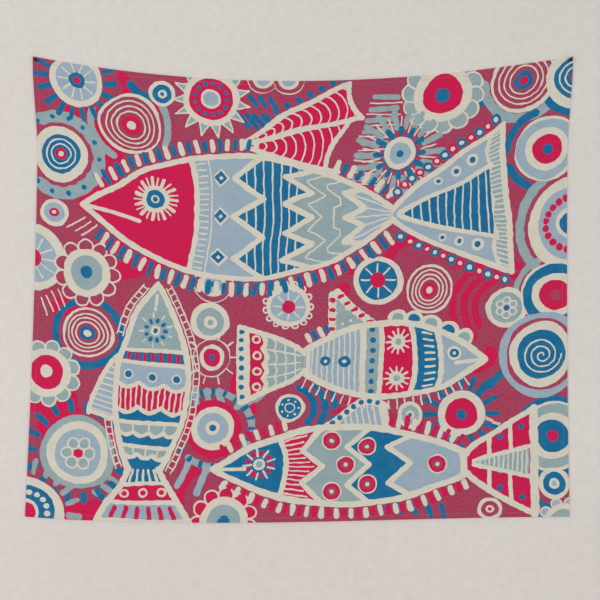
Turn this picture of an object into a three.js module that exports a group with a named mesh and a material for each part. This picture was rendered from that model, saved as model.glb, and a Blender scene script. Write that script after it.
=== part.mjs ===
// Printed cloth tapestry, hung on a wall by two push pins through its top corners.
// Millimetres. X runs along the top edge, Y points from the cloth into the wall, and Z is up.
// The origin is on the wall's surface, midway between the two pins.
import * as THREE from 'three';

// ---- cloth, as cut and hemmed ----
const FLAT_WIDTH = 1524;
const FLAT_HEIGHT = 1295;
const CLOTH_THICKNESS = 0.4;
const HEM_WIDTH = 16;
const HEM_LAYERS = 2; // layers of cloth turned behind the panel
const THREAD_THICKNESS = 0.3;
const THREAD_WIDTH = 0.8;
const STITCH_MARGIN = 3; // from a hem's inner fold to the middle of its stitch line

// ---- cloth, as it hangs ----
const WIDTH_TAKE_UP = 12; // flat width less the distance between the hung top corners
const HEIGHT_TAKE_UP = 7; // flat height less the height of a hung side edge
const TOP_SAG = 69;
const BOTTOM_BOW = 15;
const BOTTOM_SPREAD = 12; // how much wider the bottom edge hangs than the top one
const TOP_LEAN = 0.07; // how far the sag leans to the left, as a share of it
const BOTTOM_LEAN = 0.9; // the same, for the bottom edge's bow
const SIDE_TUCK = 16; // how far the side edges draw in between their ends
const TUCK_LEAN = 2; // how much more than that the left edge draws in, and how much less the right one
const TUCK_LEVEL = 0.22; // where the sides draw in most, from 0 at the top edge to 1 at the bottom
const BOTTOM_DRIFT = -16; // how far the bottom edge hangs to one side

// ---- push pins ----
const PIN_INSET = 8; // from the cloth's side and top edges to the needle
const NEEDLE_RADIUS = 0.6;
const NEEDLE_REACH = 10.5; // from the grip's flange to the needle's tip
const NEEDLE_TIP = 2.5;
const GRIP_LENGTH = 12.5;
const FLANGE_RADIUS = 5.5;
const FLANGE_THICKNESS = 1.6;
const WAIST_RADIUS = 2.9;
const HEAD_RADIUS = 4.8;
const HEAD_THICKNESS = 3.2;
const EDGE_ROUND = 0.8;
const BORE_DEPTH = 6.5;

// ---- fits and smoothness ----
const GAP = 0.3; // between pieces that lie against each other
const NEEDLE_CLEARANCE = 0.3; // around the needle, in the cloth and in the grip
const OUTLINE_STEP = 40; // longest straight piece of a curved edge
const ROUND_SIDES = 40;
const ARC_STEPS = 5;

// ---- stack, from the wall's surface out to the grips ----
const hemThickness = HEM_LAYERS * CLOTH_THICKNESS;
const panelBack = -(hemThickness + GAP);
const clothFront = panelBack - CLOTH_THICKNESS;
const stitchBack = clothFront - GAP;
const flangeBack = clothFront - GAP;

const halfWidth = FLAT_WIDTH / 2;
const foldEdge = HEM_WIDTH + GAP; // where panel and hems stop short of a corner fold
const clothHung = { width: FLAT_WIDTH - WIDTH_TAKE_UP, height: FLAT_HEIGHT - HEIGHT_TAKE_UP };

// Share of the sides' full tuck, at a level from 0, the top edge, to 1, the bottom one.
function tuckAt(level) {
  if (level < TUCK_LEVEL) {
    return THREE.MathUtils.smoothstep(level, 0, TUCK_LEVEL);
  }
  return 1 - ((level - TUCK_LEVEL) / (1 - TUCK_LEVEL)) ** 2;
}

// Where a point of the flat cloth hangs. across is measured from the cloth's middle, down from its top edge.
function drape(across, down) {
  const share = across / halfWidth;
  const level = down / FLAT_HEIGHT;
  const tuck = (SIDE_TUCK - TUCK_LEAN * share) * tuckAt(level);
  const reach = clothHung.width / 2 + (BOTTOM_SPREAD / 2) * level - tuck;
  const middleness = 1 - share * share;
  const top = -TOP_SAG * middleness * (1 - TOP_LEAN * share);
  const bottom = -clothHung.height - BOTTOM_BOW * middleness * (1 - BOTTOM_LEAN * share);
  return new THREE.Vector2(share * reach + BOTTOM_DRIFT * level, THREE.MathUtils.lerp(top, bottom, level));
}

const leftPinDrape = drape(PIN_INSET - halfWidth, PIN_INSET);
const rightPinDrape = drape(halfWidth - PIN_INSET, PIN_INSET);
const drapeOrigin = leftPinDrape.clone().add(rightPinDrape).multiplyScalar(0.5);

function hang(across, down) {
  return drape(across, down).sub(drapeOrigin);
}

// ---- shapes ----

// A plate of cloth or thread: a polygon of the flat cloth, hung, with its back at the given Y.
function clothPlate(flatOutline, back, thickness, hole) {
  const outline = [];
  flatOutline.forEach((start, index) => {
    const end = flatOutline[(index + 1) % flatOutline.length];
    const steps = Math.ceil(Math.hypot(end[0] - start[0], end[1] - start[1]) / OUTLINE_STEP);
    for (let step = 0; step < steps; step += 1) {
      const share = step / steps;
      const across = THREE.MathUtils.lerp(start[0], end[0], share);
      const down = THREE.MathUtils.lerp(start[1], end[1], share);
      outline.push(hang(across, down));
    }
  });
  const shape = new THREE.Shape(outline);
  if (hole) {
    const opening = new THREE.Path();
    opening.absarc(hole.centre.x, hole.centre.y, hole.radius, 0, Math.PI * 2);
    shape.holes.push(opening);
  }
  const geometry = new THREE.ExtrudeGeometry(shape, {
    depth: thickness,
    bevelEnabled: false,
    curveSegments: ROUND_SIDES / 2,
  });
  geometry.rotateX(Math.PI / 2);
  geometry.translate(0, back, 0);
  return geometry;
}

function flatBox(left, right, top, bottom) {
  return [[left, top], [left, bottom], [right, bottom], [right, top]];
}

// The panel's flat outline: the whole cloth, less a square at each corner fold.
function panelOutline() {
  const side = halfWidth;
  const inner = halfWidth - foldEdge;
  const low = FLAT_HEIGHT - foldEdge;
  return [
    [-side, foldEdge], [-side, low], [-inner, low], [-inner, FLAT_HEIGHT],
    [inner, FLAT_HEIGHT], [inner, low], [side, low], [side, foldEdge],
    [inner, foldEdge], [inner, 0], [-inner, 0], [-inner, foldEdge],
  ];
}

// Profile points of a quarter round, about a centre, from one angle to another.
function roundPoints(radius, along, start, end) {
  const points = [];
  for (let step = 0; step <= ARC_STEPS; step += 1) {
    const angle = THREE.MathUtils.lerp(start, end, step / ARC_STEPS);
    points.push([radius + EDGE_ROUND * Math.cos(angle), along + EDGE_ROUND * Math.sin(angle)]);
  }
  return points;
}

// A round solid about Y. Each profile point is a radius and a distance out from the flange's back face.
function turned(profile) {
  const points = profile.map(([radius, out]) => new THREE.Vector2(radius, flangeBack - out));
  return new THREE.LatheGeometry(points, ROUND_SIDES);
}

function gripShape() {
  const boreRadius = NEEDLE_RADIUS + NEEDLE_CLEARANCE;
  const headStart = GRIP_LENGTH - HEAD_THICKNESS;
  const waist = [];
  for (let step = 0; step <= 2 * ARC_STEPS; step += 1) {
    const share = step / (2 * ARC_STEPS);
    const flare = (2 * share - 1) ** 2;
    const target = share < 0.5 ? FLANGE_RADIUS - EDGE_ROUND : HEAD_RADIUS - EDGE_ROUND;
    const out = THREE.MathUtils.lerp(FLANGE_THICKNESS, headStart, share);
    waist.push([THREE.MathUtils.lerp(WAIST_RADIUS, target, flare * flare), out]);
  }
  const quarter = Math.PI / 2;
  return turned([
    [0, GRIP_LENGTH],
    ...roundPoints(HEAD_RADIUS - EDGE_ROUND, GRIP_LENGTH - EDGE_ROUND, quarter, 0),
    ...roundPoints(HEAD_RADIUS - EDGE_ROUND, headStart + EDGE_ROUND, 0, -quarter).slice(0, -1),
    ...waist.reverse(),
    ...roundPoints(FLANGE_RADIUS - EDGE_ROUND, FLANGE_THICKNESS - EDGE_ROUND, quarter, 0).slice(1),
    [FLANGE_RADIUS, 0],
    [boreRadius, 0],
    [boreRadius, BORE_DEPTH],
    [0, BORE_DEPTH],
  ]);
}

function needleShape() {
  return turned([
    [0, BORE_DEPTH - GAP],
    [NEEDLE_RADIUS, BORE_DEPTH - GAP],
    [NEEDLE_RADIUS, NEEDLE_TIP - NEEDLE_REACH],
    [0, -NEEDLE_REACH],
  ]);
}

// ---- materials ----
const printedCloth = new THREE.MeshStandardMaterial({ color: '#b0566f', roughness: 0.85, metalness: 0 });
const hemCloth = new THREE.MeshStandardMaterial({ color: '#b8486a', roughness: 0.85, metalness: 0 });
const thread = new THREE.MeshStandardMaterial({ color: '#d8c4b8', roughness: 0.7, metalness: 0 });
const blackPlastic = new THREE.MeshStandardMaterial({ color: '#141416', roughness: 0.3, metalness: 0 });
const steel = new THREE.MeshStandardMaterial({ color: '#b9bcc0', roughness: 0.25, metalness: 1 });

// ---- assembly ----
const tapestry = new THREE.Group();

function addPiece(name, geometry, material) {
  const piece = new THREE.Mesh(geometry, material);
  piece.name = name;
  tapestry.add(piece);
  return piece;
}

addPiece('cloth_panel', clothPlate(panelOutline(), panelBack, CLOTH_THICKNESS), printedCloth);

// The hems and their stitches, each between two corner folds.
const runEnd = halfWidth - foldEdge;
const runLow = FLAT_HEIGHT - foldEdge;
const halfThread = THREAD_WIDTH / 2;
const stitchInset = HEM_WIDTH - STITCH_MARGIN;
const edges = {
  top: (near, far) => flatBox(-runEnd, runEnd, near, far),
  bottom: (near, far) => flatBox(-runEnd, runEnd, FLAT_HEIGHT - far, FLAT_HEIGHT - near),
  left: (near, far) => flatBox(-halfWidth + near, -halfWidth + far, foldEdge, runLow),
  right: (near, far) => flatBox(halfWidth - far, halfWidth - near, foldEdge, runLow),
};
for (const [edge, strip] of Object.entries(edges)) {
  addPiece(`${edge}_hem`, clothPlate(strip(0, HEM_WIDTH), 0, hemThickness), hemCloth);
  const stitchLine = strip(stitchInset - halfThread, stitchInset + halfThread);
  addPiece(`${edge}_hem_stitch`, clothPlate(stitchLine, stitchBack, THREAD_THICKNESS), thread);
}

// The corner folds, as thick as hem and panel together. The top two hold the pins.
for (const side of ['left', 'right']) {
  const left = side === 'left' ? -halfWidth : halfWidth - HEM_WIDTH;
  const topSquare = flatBox(left, left + HEM_WIDTH, 0, HEM_WIDTH);
  const bottomSquare = flatBox(left, left + HEM_WIDTH, FLAT_HEIGHT - HEM_WIDTH, FLAT_HEIGHT);
  const pinAcross = side === 'left' ? PIN_INSET - halfWidth : halfWidth - PIN_INSET;
  const pinSpot = hang(pinAcross, PIN_INSET);
  const needleHole = { centre: pinSpot, radius: NEEDLE_RADIUS + NEEDLE_CLEARANCE };
  addPiece(`corner_fold_top_${side}`, clothPlate(topSquare, 0, -clothFront, needleHole), hemCloth);
  addPiece(`corner_fold_bottom_${side}`, clothPlate(bottomSquare, 0, -clothFront), hemCloth);

  const grip = addPiece(`${side}_pin_grip`, gripShape(), blackPlastic);
  grip.position.set(pinSpot.x, 0, pinSpot.y);
  const needle = addPiece(`${side}_pin_needle`, needleShape(), steel);
  needle.position.copy(grip.position);
}

export default tapestry;
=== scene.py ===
"""Looks of a printed cloth tapestry hung by two push pins. Metres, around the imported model.

The cloth is described flat, in millimetres: x from its left edge, y down from its top edge. The print is
a list of painted outlines there. The cloth is cut into triangles along them, and each point is then hung.
"""
import bpy
import math
import random
import numpy as np
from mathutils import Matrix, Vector
from mathutils.geometry import delaunay_2d_cdt


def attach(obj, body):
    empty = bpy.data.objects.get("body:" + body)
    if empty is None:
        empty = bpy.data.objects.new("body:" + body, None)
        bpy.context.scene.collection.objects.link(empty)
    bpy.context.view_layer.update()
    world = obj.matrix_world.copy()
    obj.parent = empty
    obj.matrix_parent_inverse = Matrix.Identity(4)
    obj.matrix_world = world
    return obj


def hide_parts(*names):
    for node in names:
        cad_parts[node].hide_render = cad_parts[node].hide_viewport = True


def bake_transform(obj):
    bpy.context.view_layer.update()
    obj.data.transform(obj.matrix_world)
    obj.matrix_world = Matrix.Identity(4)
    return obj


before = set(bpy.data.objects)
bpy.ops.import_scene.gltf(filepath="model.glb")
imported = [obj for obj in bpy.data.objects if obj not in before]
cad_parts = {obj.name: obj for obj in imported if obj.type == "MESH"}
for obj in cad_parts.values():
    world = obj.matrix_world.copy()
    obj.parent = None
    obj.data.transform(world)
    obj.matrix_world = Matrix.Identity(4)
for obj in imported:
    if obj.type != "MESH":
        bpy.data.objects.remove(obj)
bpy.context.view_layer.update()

MM = 0.001

# ---- cloth, flat and hung, in mm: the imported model's own sizes ----
WIDTH = 1524.0
HEIGHT = 1295.0
HEM = 16.0
WIDTH_TAKE_UP = 12.0
HEIGHT_TAKE_UP = 7.0
TOP_SAG = 69.0
BOTTOM_BOW = 15.0
BOTTOM_SPREAD = 12.0
TOP_LEAN = 0.07
BOTTOM_LEAN = 0.9
SIDE_TUCK = 16.0
TUCK_LEAN = 2.0
TUCK_LEVEL = 0.22
BOTTOM_DRIFT = -16.0
PIN_INSET = 8.0
NEEDLE_RADIUS = 0.6
HOLE_CLEARANCE = 0.3
FOLD_GAP = 0.05  # from a corner fold to the hems
PANEL_BACK = 1.1  # distance out from the wall
PANEL_FRONT = 1.5
HEM_FRONT = 1.08
STITCH_INSET = 13.0


def tuck(level):
    rise = np.clip(level / TUCK_LEVEL, 0, 1)
    fall = (np.maximum(level, TUCK_LEVEL) - TUCK_LEVEL) / (1 - TUCK_LEVEL)
    return np.where(level < TUCK_LEVEL, rise * rise * (3 - 2 * rise), 1 - fall ** 2)


def drape(points):
    """Flat points to hung ones, in mm across and up, before the origin is moved to the pins."""
    share = points[:, 0] / (WIDTH / 2) - 1
    level = points[:, 1] / HEIGHT
    drawn_in = (SIDE_TUCK - TUCK_LEAN * share) * tuck(level)
    reach = (WIDTH - WIDTH_TAKE_UP + BOTTOM_SPREAD * level) / 2 - drawn_in
    middleness = 1 - share ** 2
    top = -TOP_SAG * middleness * (1 - TOP_LEAN * share)
    bottom = -(HEIGHT - HEIGHT_TAKE_UP) - BOTTOM_BOW * middleness * (1 - BOTTOM_LEAN * share)
    return np.column_stack((share * reach + BOTTOM_DRIFT * level, top + (bottom - top) * level))


PIN_SPOTS = np.array([[PIN_INSET, PIN_INSET], [WIDTH - PIN_INSET, PIN_INSET]])
DRAPE_ORIGIN = drape(PIN_SPOTS).mean(axis=0)

# ---- the hang: how far the cloth stands off the wall ----
GRID_COLUMNS = 77
GRID_ROWS = 66
BULGE_LIMIT = 15.0
SIM_FRAMES = 60
SLACK = (1.006, 1, 1.004)  # how much longer the simulated sheet is than the space that it hangs in
PINNED_REACH = 0.024  # held around each pin, in metres, as are the next two
SIM_START = 0.004  # the sheet's first distance out
SIM_GAP = 0.002  # from the sheet's place at rest to y = 0, on to the wall, and between their surfaces
CLOTH_SETTINGS = {
    "quality": 6,
    "mass": 0.06,
    "tension_stiffness": 40,
    "compression_stiffness": 40,
    "shear_stiffness": 10,
    "bending_stiffness": 1.2,
    "air_damping": 2,
}


def spline_weights(part):
    rest = 1 - part
    return (
        rest ** 3 / 6,
        (3 * part ** 3 - 6 * part ** 2 + 4) / 6,
        (3 * rest ** 3 - 6 * rest ** 2 + 4) / 6,
        part ** 3 / 6,
    )


def sample(grid, points):
    """A smooth reading of a grid of values that covers the flat cloth."""
    rows, columns = grid.shape
    x = np.clip(points[:, 0] / WIDTH, 0, 1) * (columns - 1)
    y = np.clip(points[:, 1] / HEIGHT, 0, 1) * (rows - 1)
    column = np.minimum(x.astype(int), columns - 2)
    row = np.minimum(y.astype(int), rows - 2)
    total = np.zeros(len(points))
    for r, row_weight in enumerate(spline_weights(y - row)):
        for c, column_weight in enumerate(spline_weights(x - column)):
            value = grid[np.clip(row + r - 1, 0, rows - 1), np.clip(column + c - 1, 0, columns - 1)]
            total += row_weight * column_weight * value
    return total


def grid_points():
    x, y = np.meshgrid(np.linspace(0, WIDTH, GRID_COLUMNS), np.linspace(0, HEIGHT, GRID_ROWS))
    return np.column_stack((x.ravel(), y.ravel()))


def new_object(name, vertices, faces, smooth=False):
    mesh = bpy.data.meshes.new(name)
    mesh.from_pydata(vertices, [], faces)
    if smooth:
        mesh.polygons.foreach_set("use_smooth", np.ones(len(faces), bool))
    obj = bpy.data.objects.new(name, mesh)
    bpy.context.scene.collection.objects.link(obj)
    return obj


def four_sided(name, corners):
    return new_object(name, corners, [(0, 1, 2, 3)])


def simulated_bulge():
    """Hangs a slightly slack sheet from its top corners against the wall, and reads how far it stands off."""
    points = grid_points()
    hung = (drape(points) - DRAPE_ORIGIN) * MM
    start = np.column_stack((hung[:, 0], np.full(len(hung), -SIM_START), hung[:, 1]))
    faces = []
    for row in range(GRID_ROWS - 1):
        for column in range(GRID_COLUMNS - 1):
            corner = row * GRID_COLUMNS + column
            faces.append((corner, corner + GRID_COLUMNS, corner + GRID_COLUMNS + 1, corner + 1))
    sheet = new_object("hang_test", start.tolist(), faces)
    sheet.shape_key_add(name="Basis")
    slack = sheet.shape_key_add(name="slack")
    loose = start * np.array(SLACK)
    slack.data.foreach_set("co", loose.ravel())
    pinned = sheet.vertex_groups.new(name="pinned")
    spots = (drape(PIN_SPOTS) - DRAPE_ORIGIN) * MM
    for spot in spots:
        near = np.nonzero(np.hypot(*(hung - spot).T) < PINNED_REACH)[0]
        pinned.add([int(i) for i in near], 1.0, "REPLACE")
    wall = four_sided("hang_wall", [(x, SIM_GAP, z) for x, z in ((-2, -2), (2, -2), (2, 1), (-2, 1))])
    wall.modifiers.new("Collision", "COLLISION")
    wall.collision.thickness_outer = SIM_GAP
    cloth = sheet.modifiers.new("Cloth", "CLOTH")
    for key, value in CLOTH_SETTINGS.items():
        setattr(cloth.settings, key, value)
    cloth.settings.vertex_group_mass = "pinned"
    cloth.settings.rest_shape_key = slack
    cloth.collision_settings.distance_min = SIM_GAP
    cloth.point_cache.frame_start = 1
    cloth.point_cache.frame_end = SIM_FRAMES
    scene = bpy.context.scene
    for number in range(1, SIM_FRAMES + 1):
        scene.frame_set(number)
    shown = sheet.evaluated_get(bpy.context.evaluated_depsgraph_get())
    settled = np.array([vertex.co for vertex in shown.data.vertices])
    scene.frame_set(1)
    for obj in (sheet, wall):
        bpy.data.objects.remove(obj, do_unlink=True)
    off = np.maximum(-settled[:, 1] / MM - SIM_GAP / MM, 0)
    return (BULGE_LIMIT * np.tanh(off / BULGE_LIMIT)).reshape(GRID_ROWS, GRID_COLUMNS)


BULGE = simulated_bulge()


def hang(points, out):
    """Flat points to the hung cloth, in metres. out is how far in front of the wall, apart from the bulge."""
    hung = drape(points) - DRAPE_ORIGIN
    return np.column_stack((hung[:, 0], -(out + sample(BULGE, points)), hung[:, 1])) * MM


# ---- the painter's tools ----
EDGE_STEP = 5.0  # longest straight piece of a painted edge
PATH_STEP = 8.0
marks = []  # (ink, outline), in the order that they are painted
hand = random.Random(41)


def hand_waves(count, shortest, longest, size):
    waves = []
    for _ in range(count):
        turn = hand.uniform(0, math.tau)
        pitch = math.tau / hand.uniform(shortest, longest)
        push = hand.uniform(0, math.tau)
        waves.append((pitch * math.cos(turn), pitch * math.sin(turn), hand.uniform(0, math.tau),
                      size * math.cos(push), size * math.sin(push)))
    return waves


DRIFT = hand_waves(6, 110, 260, 1.5)
TREMBLE = hand_waves(9, 13, 34, 0.32)


def unsteady(points):
    """Moves points as an unsteady hand would, alike for whatever is painted near one place."""
    moved = points.astype(float)
    for along_x, along_y, phase, push_x, push_y in DRIFT + TREMBLE:
        wave = np.sin(points[:, 0] * along_x + points[:, 1] * along_y + phase)
        moved[:, 0] += push_x * wave
        moved[:, 1] += push_y * wave
    return moved


def resample(points, step, closed):
    points = np.asarray(points, float)
    ends = np.vstack((points, points[:1])) if closed else points
    pieces = []
    for start, end in zip(ends[:-1], ends[1:]):
        count = max(1, math.ceil(math.dist(start, end) / step))
        pieces.append(start + (end - start) * (np.arange(count) / count)[:, None])
    if not closed:
        pieces.append(ends[-1:])
    return np.vstack(pieces)


def paint(ink, outline):
    marks.append((ink, unsteady(resample(outline, EDGE_STEP, True))))


def circle(x, y, radius, uneven=0.03):
    count = max(14, round(math.tau * radius / EDGE_STEP))
    angle = np.arange(count) / count * math.tau
    reach = np.ones(count)
    for lobes in (2, 3, 4):
        reach += uneven * hand.uniform(0, 1) / lobes * 2 * np.cos(lobes * angle + hand.uniform(0, math.tau))
    return np.column_stack((x + radius * reach * np.cos(angle), y + radius * reach * np.sin(angle)))


def disc(ink, x, y, radius):
    marks.append((ink, unsteady(circle(x, y, radius))))


def stroke(ink, path, width):
    """A brush stroke with round ends along a smooth path."""
    path = resample(path, PATH_STEP, False)
    way = np.gradient(path, axis=0)
    way /= np.maximum(np.hypot(*way.T), 1e-6)[:, None]
    across = np.column_stack((-way[:, 1], way[:, 0]))
    share = np.linspace(0, 1, len(path))
    phase = hand.uniform(0, math.tau)
    half = width / 2 * (1 + 0.07 * np.sin(share * len(path) * 0.9 + phase))
    left = path + across * half[:, None]
    right = path - across * half[:, None]
    caps = []
    for end, forward in ((-1, 1), (0, -1)):
        turn = np.radians([66, 33, 0, -33, -66]) * forward
        cap = path[end] + half[end] * (
            np.cos(turn)[:, None] * way[end] * forward + np.sin(turn)[:, None] * across[end]
        )
        caps.append(cap)
    marks.append((ink, unsteady(np.vstack((left, caps[0], right[::-1], caps[1])))))


def sharp_stroke(ink, path, width):
    """A stroke that turns corners: one short stroke for each straight piece."""
    for start, end in zip(path[:-1], path[1:]):
        stroke(ink, [start, end], width)


def dash(ink, x, y, degrees, length, width):
    """A short stroke about a middle."""
    turn = math.radians(degrees + hand.uniform(-5, 5))
    reach = length * hand.uniform(0.88, 1.1) / 2 - width / 2
    step_x, step_y = reach * math.cos(turn), reach * math.sin(turn)
    ends = [(x - step_x, y - step_y), (x + step_x, y + step_y)]
    stroke(ink, ends, width * hand.uniform(0.88, 1.1))


def arc(x, y, radius, start, end):
    angle = np.radians(np.linspace(start, end, max(4, round(abs(end - start) / 9))))
    return np.column_stack((x + radius * np.cos(angle), y + radius * np.sin(angle)))


def ring(ink, x, y, radius, width):
    """A thin painted ring that leaves what is inside it, as two half turns."""
    start = hand.uniform(0, 360)
    for half in (0, 180):
        stroke(ink, arc(x, y, radius, start + half - 4, start + half + 184), width)


def around(count, start=0.0):
    return [start + 360 * number / count for number in range(count)]


def polar(x, y, radius, degrees):
    turn = math.radians(degrees)
    return x + radius * math.cos(turn), y + radius * math.sin(turn)


def rosette(x, y, *rings):
    for radius, ink in rings:
        disc(ink, x, y, radius)


def dot_ring(ink, x, y, radius, count, size, start=0.0):
    for turn in around(count, start):
        disc(ink, *polar(x, y, radius, turn), size)


def dash_ring(ink, x, y, radius, count, length, width, start=0.0):
    for turn in around(count, start):
        dash(ink, *polar(x, y, radius, turn), turn, length, width)


def petals(x, y, radius, count, size, line, fill):
    for turn in around(count, hand.uniform(0, 90)):
        spot = polar(x, y, radius, turn)
        disc(line, *spot, size)
        disc(fill, *spot, size - 5)


# ---- edges across a form, and fillings between two of them ----
CROSS = np.linspace(-1, 1, 49)


def level(base, bow=0.0, slant=0.0):
    return lambda side: base + bow * (1 - side ** 2) + slant * side


def scallops(base, depth, count):
    return lambda side: base + depth * np.abs(np.sin(math.pi * count * (side + 1) / 2))


def zigzag(base, depth, teeth):
    def edge(side):
        return base + depth * (4 * np.abs((side + 1) / 2 * teeth % 1 - 0.5) - 1)
    edge.corners = 2 * teeth
    return edge


def between(near, far, share):
    return lambda side: near(side) + (far(side) - near(side)) * share


def lens(half, waist, peak=0.5, power=2.1):
    """A fish's half width along its spine: a point at the nose, and a waist at the tail joint."""
    lean = math.log(0.5) / math.log(peak)
    return lambda along: waist * along ** 3 + half * (1 - np.abs(2 * along ** lean - 1) ** power)


def fan(near, far, power=0.8):
    return lambda along: near + (far - near) * np.maximum(along, 0) ** power


class Form:
    """A shape about a spine: along runs from 0 to 1 on the spine, side from -1 to 1 across it."""

    def __init__(self, start, end, spread, bend=0.0):
        self.start = np.array(start, float)
        self.run = np.array(end, float) - self.start
        self.normal = np.array([-self.run[1], self.run[0]]) / math.hypot(*self.run)
        self.spread = spread
        self.bend = bend

    def at(self, along, side):
        along, side = np.broadcast_arrays(np.asarray(along, float), np.asarray(side, float))
        off = side * self.spread(along) + self.bend * np.sin(math.pi * along)
        return self.start + along[..., None] * self.run + off[..., None] * self.normal

    def band(self, ink, near, far):
        low, high = near(CROSS), far(CROSS)
        right = self.at(np.linspace(low[-1], high[-1], 14), 1)
        left = self.at(np.linspace(high[0], low[0], 14), -1)
        paint(ink, np.vstack((self.at(low, CROSS), right, self.at(high[::-1], CROSS[::-1]), left)))

    def cross(self, ink, edge, width):
        if hasattr(edge, "corners"):
            side = np.linspace(-1, 1, edge.corners + 1)
            sharp_stroke(ink, self.at(edge(side), side), width)
        else:
            stroke(ink, self.at(edge(CROSS), CROSS), width)

    def lengthwise(self, ink, side, first, last, width):
        stroke(ink, self.at(np.linspace(first, last, 12), side), width)

    def outline(self, ink, width):
        for side in (-1, 1):
            stroke(ink, self.at(np.linspace(0, 1, 60), side), width)

    def edge_walk(self, side, first, last, spacing, clear):
        """Places at even steps outside an edge, each with its outward angle in degrees."""
        line = self.at(np.linspace(first, last, 200), side)
        way = np.gradient(line, axis=0)
        outward = np.column_stack((-way[:, 1], way[:, 0])) * side / np.hypot(*way.T)[:, None]
        walked = np.concatenate(([0], np.cumsum(np.hypot(*np.diff(line, axis=0).T))))
        for stop in np.arange(spacing / 2, walked[-1], spacing):
            number = int(np.searchsorted(walked, stop))
            turn = math.degrees(math.atan2(outward[number][1], outward[number][0]))
            yield line[number] + outward[number] * clear, turn

    def fringe(self, side, first, last, spacing, clear, length, width, inks):
        for number, (spot, turn) in enumerate(self.edge_walk(side, first, last, spacing, clear + length / 2)):
            dash(inks[number % len(inks)], *spot, turn, length, width)

    def beads(self, side, first, last, spacing, clear, *designs):
        for number, (spot, _) in enumerate(self.edge_walk(side, first, last, spacing, clear)):
            rosette(*spot, *designs[number % len(designs)])

    def ladder(self, ink, side, first, last, clear, gap, width):
        for off in (clear, clear + gap):
            stroke(ink, [spot for spot, _ in self.edge_walk(side, first, last, 9, off)], width)
        for spot, turn in self.edge_walk(side, first, last, 20, clear + gap / 2):
            dash(ink, *spot, turn, gap + width, width)


THIN = 4.5


def runs(within):
    """Stretches of a row of trues, as slices at least two long."""
    ends = np.flatnonzero(np.diff(np.concatenate(([0], within.astype(int), [0]))))
    return [slice(start, end) for start, end in zip(ends[::2], ends[1::2]) if end - start > 1]


def stripes(spacing, ink="cream", width=THIN, shape=level(0)):
    def fill(form, near, far):
        step = spacing / math.hypot(*form.run)
        for along in np.arange(min(near(CROSS)) + step / 2, max(far(CROSS)), step):
            edge = along + shape(CROSS)
            for part in runs((edge > near(CROSS) + 0.01) & (edge < far(CROSS) - 0.01)):
                stroke(ink, form.at(edge[part], CROSS[part]), width)
    return fill


def echoes(count, ink="cream", width=THIN):
    def fill(form, near, far):
        for number in range(count):
            form.cross(ink, between(near, far, (number + 1) / (count + 1)), width)
    return fill


def rays(count, ink="cream", width=THIN, first=0.1, last=0.95):
    def fill(form, near, far):
        for side in np.linspace(-1, 1, count + 2)[1:-1]:
            start, end = (float(between(near, far, share)(side)) for share in (first, last))
            form.lengthwise(ink, side, start, end, width)
    return fill


def row(count, share, form, near, far):
    """Places at even steps across a form, at a share of the way from one edge to the other."""
    for side in np.linspace(-1, 1, 2 * count + 1)[1::2]:
        yield form.at(between(near, far, share)(side), side)


def spots(count, *rings, share=0.5):
    def fill(*region):
        for x, y in row(count, share, *region):
            rosette(x, y, *rings)
    return fill


def suns(count, radius, core):
    def fill(*region):
        for x, y in row(count, 0.5, *region):
            dash_ring("cream", x, y, radius * 1.3, 12, radius, THIN + 1)
            rosette(x, y, (radius, "cream"), (radius * 0.45, core))
    return fill


def diamonds(count, size, ink):
    def fill(*region):
        for x, y in row(count, 0.42, *region):
            for ring_ink, reach in (("cream", size), (ink, size * 0.72), ("cream", size * 0.24)):
                paint(ring_ink, [(x - reach, y), (x, y + reach), (x + reach, y), (x, y - reach)])
    return fill


def bands(form, border, *parts):
    """Fills a form from end to end. Each part is its far edge, its ink and its fillings."""
    near = level(0)
    for far, ink, *fillings in parts:
        form.band(ink, near, far)
        for filling in fillings:
            filling(form, near, far)
        near = far
    for far, *_ in parts[:-1]:
        form.cross("cream", far, border)


def fin(form, end, ink, *fillings, rim, tip=None):
    """One filled band between cream edges. tip is the width of its far edge, if that is drawn."""
    bands(form, THIN, (end, ink, *fillings))
    form.outline("cream", rim)
    if tip:
        form.cross("cream", end, tip)


# ---- roundels: plain designs that fill a circle. field, accent and core are inks ----
def button(x, y, radius, field, accent, core):
    rosette(x, y, (radius, "cream"), (radius * 0.72, field), (radius * 0.34, accent), (radius * 0.16, core))


def target(x, y, radius, field, accent, core):
    rosette(x, y, (radius, "cream"), (radius * 0.94, field), (radius * 0.67, "cream"))
    rosette(x, y, (radius * 0.46, accent), (radius * 0.16, core))


def grooved(x, y, radius, field, accent, core):
    rosette(x, y, (radius, "cream"), (radius * 0.72, field))
    for share in (0.55, 0.37):
        ring("cream", x, y, radius * share, THIN)
    rosette(x, y, (radius * 0.22, accent), (radius * 0.11, core))


def ringed(x, y, radius, field, accent, core):
    rosette(x, y, (radius, "cream"), (radius * 0.9, field))
    for share in (0.76, 0.6, 0.44):
        ring("cream", x, y, radius * share, THIN)
    rosette(x, y, (radius * 0.3, accent), (radius * 0.14, core))


def wheel(x, y, radius, field, accent, core):
    rosette(x, y, (radius, "cream"), (radius * 0.77, field))
    count = 2 * max(3, round(radius / 16))
    dash_ring("cream", x, y, radius * 0.44, count, radius * 0.56, THIN)
    rosette(x, y, (radius * 0.3, accent), (radius * 0.14, core))


def beaded(x, y, radius, field, accent, core):
    rosette(x, y, (radius, "cream"), (radius * 0.78, field))
    dot_ring(accent, x, y, radius * 0.58, round(radius / 6), radius * 0.08)
    rosette(x, y, (radius * 0.36, "cream"), (radius * 0.27, core))


def flower(x, y, radius, field, accent, core):
    petals(x, y, radius * 0.84, max(9, round(radius / 8)), radius * 0.26, "cream", accent)
    rosette(x, y, (radius * 0.78, "cream"), (radius * 0.54, field), (radius * 0.2, core))


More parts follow.
